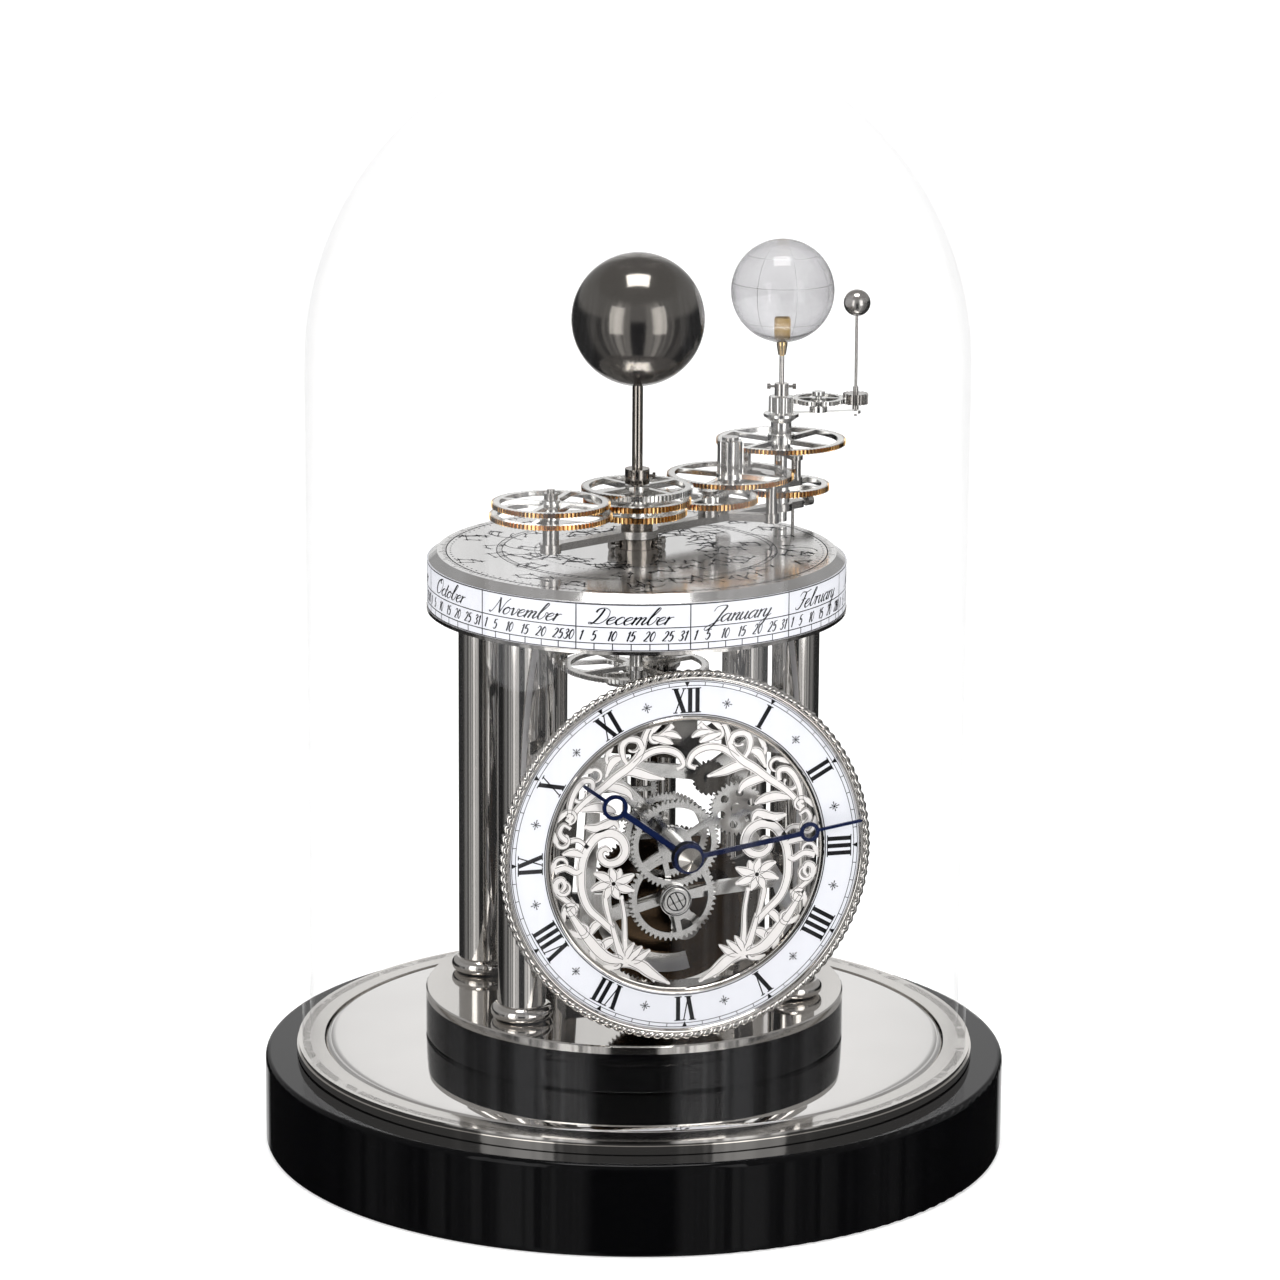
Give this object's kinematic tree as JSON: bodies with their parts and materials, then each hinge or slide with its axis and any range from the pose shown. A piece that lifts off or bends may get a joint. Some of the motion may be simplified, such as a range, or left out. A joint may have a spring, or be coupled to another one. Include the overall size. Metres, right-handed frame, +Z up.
{
  "type": "orrery clock",
  "caption": "Glass-domed mechanical orrery: sun, earth and moon on geared arms above a calendar ring on columns, over a skeleton clock with a round dial.",
  "frame": {"origin": "centre of the base plinth underside, on the surface it stands on", "axes": "+Z up, -Y out of the clock dial towards the viewer, +X to the viewer's right"},
  "size_m": [0.28, 0.28, 0.4245],
  "materials": {
    "black_lacquer": "deep black high-gloss lacquer",
    "mirror_steel": "polished stainless mirror",
    "polished_nickel": "polished nickel plate",
    "satin_steel": "satin brushed steel",
    "dark_steel": "dark polished steel",
    "band_white": "white printed band",
    "dial_white": "white printed dial",
    "chart_silver": "engraved brushed silver",
    "clear_glass": "clear blown glass",
    "blued_steel": "blued steel",
    "gear_silver": "nickel faces, brass teeth",
    "gear_brass": "gilt brass",
    "barrel_bronze": "dark bronze",
    "sun_black": "black chrome",
    "globe_glass": "clear glass globe"
  },
  "bodies": {
    "case": {"base_plinth": "black_lacquer", "dome_seat_ring": "polished_nickel", "mirror_plate": "mirror_steel", "drum_base": "black_lacquer", "drum_deck": "polished_nickel", "column_1": "polished_nickel", "column_2": "polished_nickel", "column_3": "polished_nickel", "column_4": "polished_nickel", "column_5": "polished_nickel", "column_6": "polished_nickel", "calendar_ring": "polished_nickel", "calendar_band": "band_white", "star_chart_plate": "chart_silver", "dial_plate": "dial_white", "dial_bezel": "polished_nickel", "dial_inner_rim": "polished_nickel", "dial_fretwork": "chart_silver", "movement_front_plate": "polished_nickel", "movement_back_plate": "satin_steel", "movement_pillars": "polished_nickel", "drive_bracket": "dark_steel", "centre_hub": "dark_steel", "hub_thumbscrews": "dark_steel", "fixed_wheel": "gear_brass", "sun_stem": "dark_steel", "sun_ball": "sun_black"},
    "dome": {"glass_dome": "clear_glass"},
    "minute_work": {"minute_hand": "blued_steel", "hand_cap": "polished_nickel", "centre_arbor": "gear_brass"},
    "hour_work": {"hour_hand": "blued_steel", "hour_wheel": "gear_silver"},
    "minute_wheel_set": {"minute_wheel": "gear_silver", "minute_wheel_cap": "satin_steel"},
    "take_off_wheel_set": {"take_off_wheel": "gear_silver"},
    "take_off_shaft": {"take_off_arbor": "dark_steel"},
    "upright_shaft": {"vertical_arbor": "dark_steel"},
    "transfer_set": {"transfer_wheel": "gear_silver"},
    "drive_set": {"drive_wheel": "gear_silver"},
    "barrel": {"mainspring_barrel": "barrel_bronze"},
    "winding_shaft": {"winding_arbor": "satin_steel"},
    "third_wheel_set": {"third_wheel": "gear_brass"},
    "arm": {"year_arm": "satin_steel", "lower_bridge": "satin_steel", "upper_bridge": "satin_steel", "earth_pinion": "gear_silver", "date_pointer": "satin_steel"},
    "input_gear": {"input_wheel": "gear_brass"},
    "reduction_pair": {"reduction_wheels": "gear_silver"},
    "silver_gear": {"silver_wheel": "gear_silver"},
    "moon_drive_set": {"moon_drive_wheel": "gear_silver"},
    "idler": {"idler_wheel": "gear_silver"},
    "earth": {"earth_wheel": "gear_silver", "earth_stem": "satin_steel", "earth_globe": "globe_glass"},
    "moon_turntable": {"moon_carrier": "gear_silver"},
    "moon_idler_gear": {"moon_idler": "gear_silver"},
    "moon": {"moon_stem": "satin_steel", "moon_ball": "satin_steel"}
  },
  "joints": [
    {"name": "dome_lift", "type": "slide", "parent": "case", "child": "dome", "axis": [0, 0, 1], "range_m": [0, 0.42]},
    {"name": "minute_hand_turn", "type": "hinge", "parent": "case", "child": "minute_work", "pos_m": [0, -0.057, 0.13], "axis": [0, 1, 0], "continuous": true},
    {"name": "hour_hand_turn", "type": "hinge", "parent": "case", "child": "hour_work", "pos_m": [0, -0.057, 0.13], "axis": [0, 1, 0], "continuous": true},
    {"name": "minute_wheel_turn", "type": "hinge", "parent": "case", "child": "minute_wheel_set", "pos_m": [0, -0.057, 0.109], "axis": [0, 1, 0], "continuous": true},
    {"name": "take_off_wheel_turn", "type": "hinge", "parent": "case", "child": "take_off_wheel_set", "pos_m": [0.02324, -0.057, 0.14205], "axis": [0, 1, 0], "continuous": true},
    {"name": "take_off_shaft_turn", "type": "hinge", "parent": "case", "child": "take_off_shaft", "pos_m": [0.01315, -0.057, 0.15424], "axis": [0, 1, 0], "continuous": true},
    {"name": "upright_shaft_turn", "type": "hinge", "parent": "case", "child": "upright_shaft", "pos_m": [0.01315, 0.00642, 0.17], "axis": [0, 0, 1], "continuous": true},
    {"name": "transfer_wheel_turn", "type": "hinge", "parent": "case", "child": "transfer_set", "pos_m": [0, 0.03, 0.178], "axis": [0, 0, 1], "continuous": true},
    {"name": "drive_wheel_turn", "type": "hinge", "parent": "case", "child": "drive_set", "pos_m": [0, 0, 0.183], "axis": [0, 0, 1], "continuous": true},
    {"name": "barrel_turn", "type": "hinge", "parent": "case", "child": "barrel", "pos_m": [0.00583, -0.03, 0.09691], "axis": [0, 1, 0], "continuous": true},
    {"name": "winding_arbor_turn", "type": "hinge", "parent": "case", "child": "winding_shaft", "pos_m": [0.00583, -0.03, 0.09691], "axis": [0, 1, 0], "continuous": true},
    {"name": "third_wheel_turn", "type": "hinge", "parent": "case", "child": "third_wheel_set", "pos_m": [-0.01189, -0.035, 0.14417], "axis": [0, 1, 0], "continuous": true},
    {"name": "year_arm_turn", "type": "hinge", "parent": "case", "child": "arm", "pos_m": [0, 0, 0.2346], "axis": [0, 0, 1], "continuous": true},
    {"name": "idler_turn", "type": "hinge", "parent": "arm", "child": "idler", "pos_m": [0.03236, 0.01634, 0.25], "axis": [0, 0, 1], "continuous": true},
    {"name": "earth_turn", "type": "hinge", "parent": "arm", "child": "earth", "pos_m": [0.06471, 0.03269, 0.25], "axis": [0, 0, 1], "continuous": true},
    {"name": "moon_orbit", "type": "hinge", "parent": "arm", "child": "moon_turntable", "pos_m": [0.06471, 0.03269, 0.25], "axis": [0, 0, 1], "continuous": true},
    {"name": "moon_drive_turn", "type": "hinge", "parent": "arm", "child": "moon_drive_set", "pos_m": [0.04051, 0.01716, 0.25], "axis": [0, 0, 1], "continuous": true},
    {"name": "silver_wheel_turn", "type": "hinge", "parent": "arm", "child": "silver_gear", "pos_m": [0, 0, 0.251], "axis": [0, 0, 1], "continuous": true},
    {"name": "reduction_turn", "type": "hinge", "parent": "arm", "child": "reduction_pair", "pos_m": [-0.03749, -0.01894, 0.25], "axis": [0, 0, 1], "continuous": true},
    {"name": "input_wheel_turn", "type": "hinge", "parent": "arm", "child": "input_gear", "pos_m": [0, 0, 0.2466], "axis": [0, 0, 1], "continuous": true},
    {"name": "moon_idler_turn", "type": "hinge", "parent": "moon_turntable", "child": "moon_idler_gear", "pos_m": [0.0792, 0.03206, 0.25], "axis": [0, 0, 1], "continuous": true},
    {"name": "moon_turn", "type": "hinge", "parent": "moon_turntable", "child": "moon", "pos_m": [0.09369, 0.03142, 0.25], "axis": [0, 0, 1], "continuous": true}
  ],
  "couplings": [
    {"joint": "hour_hand_turn", "follows": "minute_hand_turn", "ratio": 0.083333},
    {"joint": "minute_wheel_turn", "follows": "minute_hand_turn", "ratio": -0.3},
    {"joint": "take_off_wheel_turn", "follows": "minute_hand_turn", "ratio": -0.14062},
    {"joint": "take_off_shaft_turn", "follows": "minute_hand_turn", "ratio": 0.225},
    {"joint": "upright_shaft_turn", "follows": "minute_hand_turn", "ratio": 0.225},
    {"joint": "transfer_wheel_turn", "follows": "minute_hand_turn", "ratio": -0.028125},
    {"joint": "drive_wheel_turn", "follows": "minute_hand_turn", "ratio": 0.003125},
    {"joint": "barrel_turn", "follows": "minute_hand_turn", "ratio": -0.12},
    {"joint": "third_wheel_turn", "follows": "minute_hand_turn", "ratio": -6.4},
    {"joint": "idler_turn", "follows": "year_arm_turn", "ratio": 1.0139},
    {"joint": "earth_turn", "follows": "year_arm_turn", "ratio": -1},
    {"joint": "moon_drive_turn", "follows": "moon_orbit", "ratio": -5.3889},
    {"joint": "silver_wheel_turn", "follows": "moon_orbit", "ratio": 6.1775},
    {"joint": "reduction_turn", "follows": "moon_orbit", "ratio": -5.8902},
    {"joint": "input_wheel_turn", "follows": "moon_orbit", "ratio": 6.6358},
    {"joint": "moon_idler_turn", "follows": "moon_orbit", "ratio": 0.45},
    {"joint": "moon_turn", "follows": "moon_orbit", "ratio": -1}
  ]
}
